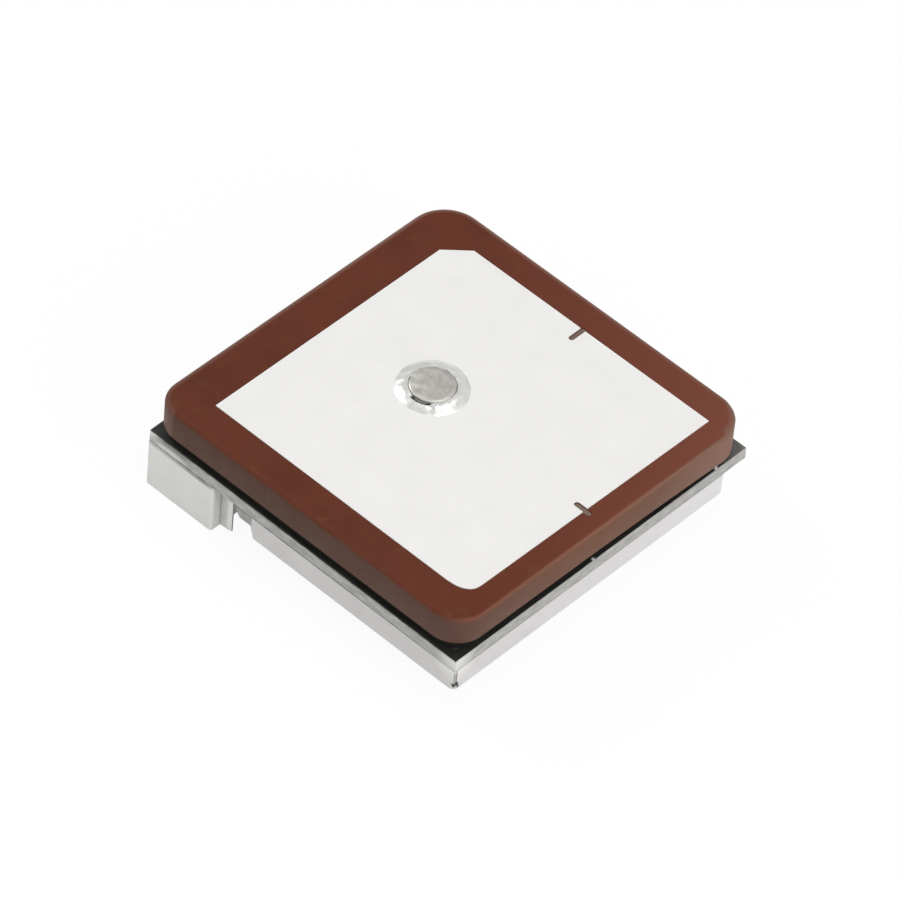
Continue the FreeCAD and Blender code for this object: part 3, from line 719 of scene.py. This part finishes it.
def blend(values, share):
    """The value at a share from 0 to 1 through evenly spaced values."""
    at = clamped(share) * (len(values) - 1)
    n = min(int(at), len(values) - 2)
    return values[n] + (values[n + 1] - values[n]) * (at - n)


# From the right face up over its top edge, in even steps of the turn
WORN_INSET = (0.60, 0.44, 0.29, 0.16, 0.06, 0.015, 0.0)
WORN_DROP = (0.0, 0.005, 0.01, 0.02, 0.03, 0.045, 0.09)
WORN_FALL = (0.0, 0.25, 0.5, 0.75, 0.92, 1.0, 1.0)
FAR_END_FALL, FAR_END_HANG = 0.23, 0.5  # of its top edge and of its foot


def worn(bm, edge):
    """Gives the right side a crisp top edge below a gentle fall.

    Its foot hangs lower towards the far end.
    """
    low, high = CERAMIC
    for vert in bm.verts:
        inset, way = outline_at(vert.co.xy)
        share = (vert.co.y - low.y) / (high.y - low.y)
        drop = high.z - vert.co.z
        if inset < edge + 1e-3 and drop < edge + 1e-3:
            facing = clamped(way.x * 1.3 - 0.2)
            turn = math.atan2(edge - inset, edge - drop) / (math.pi / 2)
            new_inset = blend(WORN_INSET, turn) * (1 + 0.9 * share)
            new_drop = blend(WORN_DROP, turn)
            new_drop += FAR_END_FALL * share ** 1.3 * blend(WORN_FALL, turn)
            vert.co.xy += way * (inset - new_inset) * facing
            vert.co.z -= (new_drop - drop) * facing
        elif vert.co.z < low.z + 0.1 and inset < 0.1:
            vert.co.z -= FAR_END_HANG * share ** 2.6 * clamped(way.x * 2.5)


class MODULE_OT_ceramic_block(bpy.types.Operator):
    """Ceramic block with rounded corners, eased edges and two ground slits"""

    bl_idname = "module.ceramic_block"
    bl_label = "Ceramic Block"

    def execute(self, context):
        edge = sizes().ceramic_edge / MM
        low, high = CERAMIC
        bm = block(low, high)
        for x, y, radius in ceramic_corners():
            place = Vector((CERAMIC[x].x, CERAMIC[y].y))
            found = [e for e in upright_edges(bm) if (e.verts[0].co.xy - place).length < AT_PLACE]
            rounded(bm, found, radius, 16)
        for level, radius, segments in ((high.z, edge, 6), (low.z, 0.06, 3)):
            bm.normal_update()
            rounded(bm, edges_at(bm, level), radius, segments)
        foot = [f for f in bm.faces
                if len(f.verts) > 8 and f.calc_center_median().z < low.z + 0.01]
        bmesh.ops.inset_region(bm, faces=foot, thickness=0.2, use_even_offset=True)
        cuts = [e for e in bm.edges
                if e.calc_length() > 10 and abs(e.verts[0].co.x - e.verts[1].co.x) < AT_PLACE
                and e.verts[0].co.x > high.x - edge - 1e-3]
        bmesh.ops.subdivide_edges(bm, edges=cuts, cuts=23, use_grid_fill=True)
        worn(bm, edge)
        width, floor = sizes().slit_width / MM, high.z - sizes().slit_depth / MM
        bm = carved(bm, pin_hole_cutter(low.z - CLEAR, high.z + CLEAR),
                    *slits(width, floor, high.z + CLEAR, GROOVE_ENDS))
        piece("ceramic_block", bm, ceramic_finish(), "brown_ceramic", "antenna_ceramic")
        linings = slits(width - 0.02, floor + 0.001, floor + 0.02, GROOVE_ENDS)
        for name, lining in zip(("back_slit_floor", "side_slit_floor"), linings):
            piece(name, lining, dust_finish(), "brown_ceramic")
        return {"FINISHED"}


class MODULE_OT_silver_patch(bpy.types.Operator):
    """Printed silver patch with cut corners and tuning slits"""

    bl_idname = "module.silver_patch"
    bl_label = "Silver Patch"

    def execute(self, context):
        low, high = PATCH
        outline = [
            (low.x, low.y), (9.35, low.y), (9.97, -10.19), (10.41, -10.04), (10.75, -9.80),
            (10.94, -9.50), (10.99, -9.05), (high.x + 0.06, high.y), (low.x + 1.47, high.y),
            (low.x + 0.68, high.y - 0.78), (low.x, high.y - 1.47),
        ]
        bm = bmesh.new()
        loop = [bm.verts.new((x, y, low.z)) for x, y in outline]
        bm.faces.new(loop)
        corner = [v for v in loop if v.co.x > low.x + 2 and v.co.y < low.y + 1.6]
        rounded(bm, corner, 0.14, 4, "VERTICES")
        raised(bm, list(bm.faces), high.z - low.z)
        bmesh.ops.recalc_face_normals(bm, faces=bm.faces)
        under, over = low.z - CLEAR, high.z + CLEAR
        bm = carved(bm, pin_hole_cutter(under, over),
                    *slits(sizes().slit_width / MM, under, over, CUTTER_ENDS))
        piece("silver_patch", bm, silver_finish(), "silver_film", "antenna_patch")
        repaint(silver_finish(), "antenna_ground_plane")
        return {"FINISHED"}


def turned(*profile):
    """A closed solid of revolution about the feed, from points of radius and height."""
    bm = bmesh.new()
    points = [bm.verts.new((FEED.x + r, FEED.y, z)) for r, z in profile]
    edges = [bm.edges.new(pair) for pair in zip(points, points[1:])]
    bmesh.ops.spin(bm, geom=points + edges, cent=FEED, axis=(0, 0, 1), dvec=(0, 0, 0),
                   angle=2 * math.pi, steps=sizes().turn_steps, use_merge=True,
                   use_duplicate=False)
    bmesh.ops.remove_doubles(bm, verts=bm.verts, dist=JOINED)
    return bm


class MODULE_OT_feed_pin(bpy.types.Operator):
    """Tinned pin with a flat, slightly uneven head"""

    bl_idname = "module.feed_pin"
    bl_label = "Feed Pin"

    def execute(self, context):
        low, high = PIN
        shank, rim, top = 0.45, (high.x - low.x) / 2, high.z
        tip, under = 0.12, top - 0.25
        bm = turned(
            (0.0, low.z), (shank - tip, low.z), (shank, low.z + tip), (shank, under),
            (rim - 0.06, under), (rim, under + 0.06), (rim, top - 0.09), (rim - 0.03, top - 0.03),
            (rim - 0.10, top), (rim - 0.35, top - 0.012), (rim - 0.7, top - 0.02),
            (rim - 1.0, top - 0.012), (0.0, top - 0.01))
        uneven = sizes().head_unevenness / MM
        for vert in bm.verts:
            out = (vert.co - FEED).xy
            if vert.co.z < under - AT_PLACE or out.length < AT_PLACE:
                continue
            turn = noise.noise(Vector((out.normalized().x * 1.7, out.normalized().y * 1.7, 4.0)))
            share = out.length / rim
            vert.co.xy = FEED.xy + out * (1 + uneven * turn / rim * share) * 0.995
            if vert.co.z > under + 0.1:
                vert.co.z -= uneven * max(0.5 + noise.noise(vert.co * 1.8), 0.0)
        piece("feed_pin_head", bm, pin_finish(), "tinned_pin", "feed_pin")
        return {"FINISHED"}


# The bead's section, as shares of its width from the head outwards and of its height
BEAD_SLOPE = ((0.0, 0.96), (0.06, 0.965), (0.16, 0.955), (0.30, 0.88), (0.45, 0.75), (0.60, 0.57),
              (0.74, 0.36), (0.86, 0.18), (0.95, 0.06), (1.0, 0.0))


class MODULE_OT_feed_solder(bpy.types.Operator):
    """Bead of solder round the pin's head, with an uneven rim"""

    bl_idname = "module.feed_solder"
    bl_label = "Feed Solder"

    def execute(self, context):
        low, high = BEAD
        inner, outer = 1.48, (high.x - low.x) / 2
        spread, rise = outer - inner, high.z - low.z
        foot = (inner, low.z + 0.02)
        slope = [(inner + spread * out, low.z + rise * up) for out, up in BEAD_SLOPE]
        bm = turned(foot, *slope, foot)
        uneven = sizes().bead_unevenness / MM
        for vert in bm.verts:
            out = (vert.co - FEED).xy
            share = (out.length - inner) / spread
            round_the_rim = Vector((out.normalized().x * 1.3, out.normalized().y * 1.3, 9.0))
            slow = noise.noise(round_the_rim)
            quick = noise.noise(round_the_rim * 3.1)
            move = uneven * share * (slow * 0.9 + quick * 0.5 - 0.5)
            vert.co.xy = FEED.xy + out.normalized() * (out.length + move)
            lift = (vert.co.z - low.z) / rise
            swell = 1 + 0.22 * lift * (quick - 0.6) + 0.18 * slow * lift
            vert.co.z = min(low.z + (vert.co.z - low.z) * swell, high.z)
            away = abs(math.degrees(math.atan2(out.y, out.x)) - CREVICE_MIDDLE) / CREVICE_HALF
            if away < 1 and share < 0.3:
                vert.co.z -= (vert.co.z - low.z) * 0.75 * (1 - away ** 3) * (1 - share / 0.3)
        piece("feed_solder_bead", bm, solder_finish(), "solder", "feed_solder")
        repaint(solder_finish(), "pin_solder_joint")
        return {"FINISHED"}


class MODULE_OT_foam_tape(bpy.types.Operator):
    """Black foam tape between the ceramic and the board"""

    bl_idname = "module.foam_tape"
    bl_label = "Foam Tape"

    def execute(self, context):
        repaint(foam_finish(), "adhesive_pad")
        return {"FINISHED"}


class MODULE_OT_circuit_board(bpy.types.Operator):
    """Circuit board under dark resist"""

    bl_idname = "module.circuit_board"
    bl_label = "Circuit Board"

    def execute(self, context):
        repaint(resist_finish(), "circuit_board")
        return {"FINISHED"}


# Where the dark gap under the band starts and ends on the left face, and the ear that closes it
GAP_START, GAP_END, EAR_X, EAR_HALF = -11.5, 10.5, -5.0, 1.2


class MODULE_OT_edge_solder(bpy.types.Operator):
    """Tinned band round the board's side, slightly uneven, with eased edges"""

    bl_idname = "module.edge_solder"
    bl_label = "Edge Solder"

    def execute(self, context):
        low, high = BAND
        bm = block(low, high)
        bmesh.ops.delete(bm, geom=[f for f in bm.faces if abs(f.normal.z) > 0.5], context="FACES")
        rounded(bm, upright_edges(bm), 0.04, 3)
        bmesh.ops.subdivide_edges(bm, edges=upright_edges(bm), cuts=9, use_grid_fill=True)
        long_edges = [e for e in bm.edges if e.calc_length() > 5]
        bmesh.ops.subdivide_edges(bm, edges=long_edges, cuts=199, use_grid_fill=True)
        bmesh.ops.recalc_face_normals(bm, faces=bm.faces)
        bm.normal_update()
        uneven = sizes().band_unevenness / MM
        moves = {}
        for vert in bm.verts:
            height = (vert.co.z - low.z) / (high.z - low.z)
            wave = noise.noise(Vector((vert.co.x * 0.9, vert.co.y * 0.9, vert.co.z * 2.5)))
            fine = noise.noise(Vector((vert.co.x * 2.6, vert.co.y * 2.6, vert.co.z * 5.0)))
            dip = uneven * (0.4 + 0.5 * wave + 0.35 * fine)
            if height < 0.05:
                dip += 0.025
                if vert.normal.y < -0.5:
                    open_part = clamped(abs(vert.co.x - EAR_X) - EAR_HALF)
                    open_part *= clamped((vert.co.x - GAP_START) / 2.5)
                    open_part *= clamped((GAP_END - vert.co.x) / 3)
                    vert.co.z += max(0.045 + 0.07 * fine, 0.0) * open_part
            if height > 0.95:
                dip += 0.012
                if vert.normal.y < -0.5:
                    vert.co.z -= 0.08 + 0.03 * fine
            moves[vert] = -vert.normal * max(dip, 0.0)
        for vert, move in moves.items():
            vert.co += move
        bmesh.ops.solidify(bm, geom=list(bm.faces), thickness=0.05)
        piece("edge_solder_band", bm, band_finish(), "tinned_edge", "edge_plating")
        return {"FINISHED"}


class MODULE_OT_solder_spots(bpy.types.Operator):
    """Small peaks and spots of stray solder on the board's right edge"""

    bl_idname = "module.solder_spots"
    bl_label = "Solder Spots"

    def execute(self, context):
        foot = BAND[1].z
        spots = ((12.36, 9.86, 0.13, 0.30), (12.35, -0.80, 0.14, 0.13), (12.10, -7.05, 0.09, 0.06))
        bm = bmesh.new()
        for x, y, radius, rise in spots:
            made = bmesh.ops.create_uvsphere(bm, u_segments=16, v_segments=10, radius=1.0)
            bmesh.ops.scale(bm, vec=(radius, radius, rise), verts=made["verts"])
            for vert in made["verts"]:
                vert.co.z = max(vert.co.z, 0.0)
            bmesh.ops.translate(bm, vec=(x, y, foot), verts=made["verts"])
        piece("solder_spots", bm, band_finish(), "tinned_edge")
        return {"FINISHED"}


class MODULE_OT_shield_can(bpy.types.Operator):
    """Folded tinplate can under the board"""

    bl_idname = "module.shield_can"
    bl_label = "Shield Can"

    def execute(self, context):
        repaint(tinplate_finish(), "shield_can")
        return {"FINISHED"}


class MODULE_OT_connector(bpy.types.Operator):
    """Connector housing and contacts"""

    bl_idname = "module.connector"
    bl_label = "Connector"

    def execute(self, context):
        repaint(nylon_finish(), "connector_housing")
        repaint(contact_finish(), "connector_contacts")
        return {"FINISHED"}


class MODULE_OT_connector_tabs(bpy.types.Operator):
    """Upright solder tabs in the back of the housing, slightly bowed"""

    bl_idname = "module.connector_tabs"
    bl_label = "Connector Tabs"

    def execute(self, context):
        low, high = TABS
        thick, bow, steps = 0.2, sizes().tab_bow / MM, 12
        tabs, edges = bmesh.new(), bmesh.new()
        for start in (low.y, high.y - thick):
            outer, inner = [], []
            for n in range(steps + 1):
                share = n / steps
                x = low.x + (high.x - 0.02 - low.x) * share
                seen = max((x - HOUSING[1].x) / (high.x - HOUSING[1].x), 0.0)
                turn = bow * seen ** 3
                dip = 0.25 * bow * math.sin(math.pi * min(seen * 1.4, 1.0)) if seen > 0 else 0.0
                outer.append((x, start + min(turn + dip, thick * 0.8)))
                inner.append((x, start + thick))
            loop = [tabs.verts.new((x, y, low.z)) for x, y in outer + inner[::-1]]
            raised(tabs, [tabs.faces.new(loop)], high.z - low.z)
            strip = block((high.x - 0.025, outer[-1][1] + 0.002, low.z),
                          (high.x, start + thick, high.z))
            holder = bpy.data.meshes.new("tab_edge_work")
            strip.to_mesh(holder)
            strip.free()
            edges.from_mesh(holder)
            bpy.data.meshes.remove(holder)
        piece("connector_tab_plates", tabs, tab_finish(), "tinned_brass", "connector_tabs")
        piece("connector_tab_edges", edges, sheared_edge_shade_finish(), "tinned_brass")
        return {"FINISHED"}


class MODULE_OT_board_parts(bpy.types.Operator):
    """Finishes of the parts under the board"""

    bl_idname = "module.board_parts"
    bl_label = "Board Parts"

    def execute(self, context):
        epoxy = hidden_finish("black_epoxy", tone(40, 40, 41), 0.6)
        repaint(epoxy, "receiver_chip", "flash_memory", "low_noise_amplifier", "voltage_regulator")
        lid = hidden_finish("package_metal", tone(206, 203, 194), 0.35, 1.0)
        repaint(lid, "saw_filter", "crystal_oscillator", "clock_crystal", "backup_cell")
        chips = hidden_finish("chip_ceramic", tone(178, 156, 126), 0.6)
        repaint(chips, "decoupling_capacitors", "rf_inductors")
        repaint(hidden_finish("resistor_glaze", tone(46, 46, 50), 0.3), "chip_resistors")
        return {"FINISHED"}


# Camera and light

CAMERA_AZIMUTH, CAMERA_ELEVATION, CAMERA_ROLL = 39.485, 46.521, 5.740
CAMERA_DISTANCE, CAMERA_LENS, CAMERA_SENSOR = 435.364, 295.223, 36.0
CAMERA_SIDE, CAMERA_RISE = -0.008, 1.149

LAMP_DISTANCE = 0.5
# Name, azimuth, elevation, side of the square and power
LAMPS = (("side_light", 82.0, 30.0, 0.35, 1.62), ("left_light", -82.0, 40.0, 0.22, 0.75),
         ("high_light", 156.0, 76.0, 0.22, 0.50), ("front_light", -8.0, 22.0, 0.35, 0.29))

FLOOR_RADIUS, FLOOR_WHITE, FLOOR_SEEN_WHITE, SKY_STRENGTH = 3.0, 0.86, 0.93, 0.52


def toward(azimuth, elevation):
    """The way out from the module at an azimuth and an elevation in degrees."""
    a, e = math.radians(azimuth), math.radians(elevation)
    return Vector((math.sin(a) * math.cos(e), -math.cos(a) * math.cos(e), math.sin(e)))


def set_camera():
    """The camera that a fit to the straight edges gave, about the foot of the ceramic."""
    a, r = math.radians(CAMERA_AZIMUTH), math.radians(CAMERA_ROLL)
    back = toward(CAMERA_AZIMUTH, CAMERA_ELEVATION)
    level = Vector((math.cos(a), math.sin(a), 0))
    right = math.cos(r) * level + math.sin(r) * back.cross(level)
    up = back.cross(right)
    place = Vector((0, 0, CERAMIC[0].z)) + CAMERA_DISTANCE * back
    place -= CAMERA_SIDE * right + CAMERA_RISE * up
    camera = bpy.data.objects.new("camera", bpy.data.cameras.new("camera"))
    camera.data.lens, camera.data.sensor_width = CAMERA_LENS, CAMERA_SENSOR
    camera.data.clip_start, camera.data.clip_end = 0.01, 20.0
    turn = Matrix((right, up, back)).transposed().to_4x4()
    camera.matrix_world = Matrix.Translation(place * MM) @ turn
    bpy.context.scene.collection.objects.link(camera)
    bpy.context.scene.camera = camera


def lamp(name, azimuth, elevation, size, power):
    """A square soft light that faces the module."""
    back = toward(azimuth, elevation)
    light = bpy.data.lights.new(name, "AREA")
    light.shape, light.size, light.energy = "SQUARE", size, power
    made = bpy.data.objects.new(name, light)
    made.location = back * LAMP_DISTANCE
    made.rotation_euler = (-back).to_track_quat("-Z", "Y").to_euler()
    bpy.context.scene.collection.objects.link(made)


def white_where_seen(paper, share):
    """Mixes white into what the camera, gloss and glass see of a finish."""
    path = paper.node("LightPath").outputs
    seen = paper.fold("MAXIMUM", path["Is Camera Ray"], path["Is Glossy Ray"],
                      path["Is Transmission Ray"])
    mix = paper.node("MixShader")
    paper.link(paper.maths("MULTIPLY", seen, share), mix.inputs[0])
    paper.link(paper.shader.outputs[0], mix.inputs[1])
    paper.link(paper.node("Emission").outputs[0], mix.inputs[2])
    paper.link(mix.outputs[0], paper.tree.nodes["Material Output"].inputs["Surface"])


class MODULE_OT_stage(bpy.types.Operator):
    """Plain white floor, soft light and the camera"""

    bl_idname = "module.stage"
    bl_label = "Stage"

    def execute(self, context):
        bm = bmesh.new()
        bmesh.ops.create_circle(bm, cap_ends=True, segments=64, radius=FLOOR_RADIUS)
        floor = placed("floor", bm)
        paper = Finish("paper", (FLOOR_WHITE,) * 3, 0.9, specular=0.1)
        white_where_seen(paper, FLOOR_SEEN_WHITE)
        floor.data.materials.append(paper.material)

        world = bpy.data.worlds.new("studio")
        world.use_nodes = True
        context.scene.world = world
        sky = world.node_tree.nodes["Background"]
        sky.inputs["Color"].default_value = (1.0, 1.0, 1.0, 1.0)
        sky.inputs["Strength"].default_value = SKY_STRENGTH
        path = world.node_tree.nodes.new("ShaderNodeLightPath")
        white = world.node_tree.nodes.new("ShaderNodeBackground")
        white.inputs["Strength"].default_value = 1.0
        mix = world.node_tree.nodes.new("ShaderNodeMixShader")
        links = world.node_tree.links
        links.new(path.outputs["Is Camera Ray"], mix.inputs[0])
        links.new(sky.outputs[0], mix.inputs[1])
        links.new(white.outputs[0], mix.inputs[2])
        links.new(mix.outputs[0], world.node_tree.nodes["World Output"].inputs["Surface"])

        for values in LAMPS:
            lamp(*values)
        context.scene.view_settings.view_transform = "Standard"
        set_camera()
        return {"FINISHED"}


OPERATORS = (
    MODULE_OT_ceramic_block, MODULE_OT_silver_patch, MODULE_OT_feed_pin, MODULE_OT_feed_solder,
    MODULE_OT_foam_tape, MODULE_OT_circuit_board, MODULE_OT_edge_solder, MODULE_OT_solder_spots,
    MODULE_OT_shield_can, MODULE_OT_connector, MODULE_OT_connector_tabs, MODULE_OT_board_parts,
    MODULE_OT_stage,
)


class MODULE_PT_panel(bpy.types.Panel):
    """Sizes, colours and pieces of the module"""

    bl_idname = "MODULE_PT_panel"
    bl_label = "Receiver Module"
    bl_space_type = "VIEW_3D"
    bl_region_type = "UI"
    bl_category = "Module"

    def draw(self, context):
        for group in (context.scene.module_sizes, context.scene.module_colours):
            column = self.layout.column()
            for name in group.__annotations__:
                column.prop(group, name)
        for operator in OPERATORS:
            self.layout.operator(operator.bl_idname)


CLASSES = (ModuleSizes, ModuleColours, *OPERATORS, MODULE_PT_panel)


def register():
    for item in CLASSES:
        bpy.utils.register_class(item)
    bpy.types.Scene.module_sizes = PointerProperty(type=ModuleSizes)
    bpy.types.Scene.module_colours = PointerProperty(type=ModuleColours)


def unregister():
    del bpy.types.Scene.module_colours
    del bpy.types.Scene.module_sizes
    for item in reversed(CLASSES):
        bpy.utils.unregister_class(item)


def main():
    register()
    for operator in OPERATORS:
        group, name = operator.bl_idname.split(".")
        getattr(getattr(bpy.ops, group), name)()


if __name__ == "__main__":
    main()
